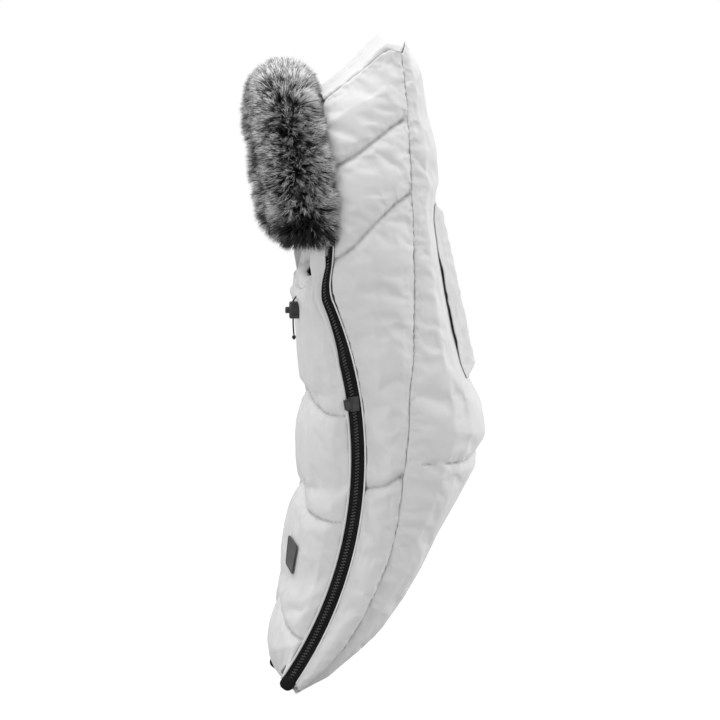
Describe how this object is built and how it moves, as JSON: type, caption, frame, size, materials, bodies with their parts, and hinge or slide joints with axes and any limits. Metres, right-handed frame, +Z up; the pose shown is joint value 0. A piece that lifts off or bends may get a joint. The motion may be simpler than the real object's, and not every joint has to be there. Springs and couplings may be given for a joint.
{
  "type": "winter footmuff",
  "caption": "Quilted winter footmuff with a fur-trimmed hood, a zipped front cover that folds down, a drawstring collar with cord lock and a rear seat sleeve.",
  "frame": {"origin": "middle of the rear sleeve's flat outer face, where the footmuff lies against a seat's backrest", "axes": "+Z up along the child's back towards the hood, -Y the way the child faces, +X to the child's left"},
  "size_m": [0.3844, 0.3162, 0.8942],
  "materials": {
    "shell_cloth": "matt woven nylon, quilted over wadding",
    "fleece": "brushed fleece",
    "fur": "long-pile faux fur, dark root and light tip",
    "black_tape": "woven zip tape",
    "zip_resin": "moulded resin, satin",
    "slider_metal": "black enamel, satin",
    "lock_plastic": "moulded, satin",
    "spring_steel": "bright drawn wire",
    "badge_rubber": "matt soft moulding, bare",
    "black_cord": "braided polyester"
  },
  "bodies": {
    "shell": {"back_panel": "shell_cloth", "badge": "badge_rubber", "bottom_box_left": "black_tape", "bottom_box_right": "black_tape", "foot_back_panel": "shell_cloth", "fur_trim": "fur", "hood_lining": "fleece", "hood_top_panel": "shell_cloth", "lower_cover": "shell_cloth", "lower_cover_lining": "fleece", "lower_cover_tape_left": "black_tape", "lower_cover_tape_right": "black_tape", "lower_cover_teeth_left": "zip_resin", "lower_cover_teeth_right": "zip_resin", "rear_sleeve": "shell_cloth", "shell_lining": "fleece", "shell_tape_left": "black_tape", "shell_tape_right": "black_tape", "shell_teeth_left": "zip_resin", "shell_teeth_right": "zip_resin", "side_panel_left": "shell_cloth", "side_panel_right": "shell_cloth", "top_stop_left": "zip_resin", "top_stop_right": "zip_resin"},
    "upper_cover": {"collar_casing": "shell_cloth", "cord_knot": "black_cord", "cord_lock_body": "lock_plastic", "cord_lock_spring": "spring_steel", "cord_tail": "black_cord", "drawstring": "black_cord", "upper_cover": "shell_cloth", "upper_cover_lining": "fleece", "upper_cover_tape_left": "black_tape", "upper_cover_tape_right": "black_tape", "upper_cover_teeth_left": "zip_resin", "upper_cover_teeth_right": "zip_resin"},
    "cord_lock_button": {"cord_lock_button": "lock_plastic"},
    "pull_left": {"pull_left": "slider_metal"},
    "pull_right": {"pull_right": "slider_metal"},
    "slider_left": {"slider_left": "slider_metal"},
    "slider_right": {"slider_right": "slider_metal"}
  },
  "joints": [
    {"name": "cover_fold", "type": "hinge", "parent": "shell", "child": "upper_cover", "pos_m": [0, -0.21223, -0.12735], "axis": [1, 0, 0], "range_deg": [0, 150]},
    {"name": "slider_left_run", "type": "hinge", "parent": "shell", "child": "slider_left", "pos_m": [0.138, -0.6906, -0.211], "axis": [0.9963, 0, -0.0854], "range_deg": [-40, 13.5]},
    {"name": "slider_right_run", "type": "hinge", "parent": "shell", "child": "slider_right", "pos_m": [-0.138, -0.6906, -0.211], "axis": [0.9963, 0, 0.0854], "range_deg": [-40, 13.5]},
    {"name": "pull_left_swing", "type": "hinge", "parent": "slider_left", "child": "pull_left", "pos_m": [0.1495, -0.15837, -0.13311], "axis": [0.0845, -0.1461, 0.9857], "range_deg": [0, 160]},
    {"name": "pull_right_swing", "type": "hinge", "parent": "slider_right", "child": "pull_right", "pos_m": [-0.1495, -0.15837, -0.13311], "axis": [0.0845, 0.1461, -0.9857], "range_deg": [0, 160]},
    {"name": "lock_button_press", "type": "slide", "parent": "upper_cover", "child": "cord_lock_button", "axis": [0, 1, 0], "range_m": [0, 0.0035], "stiffness_N_per_m": 400, "springref_m": -0.002, "deforming": ["cord_lock_spring"]}
  ]
}
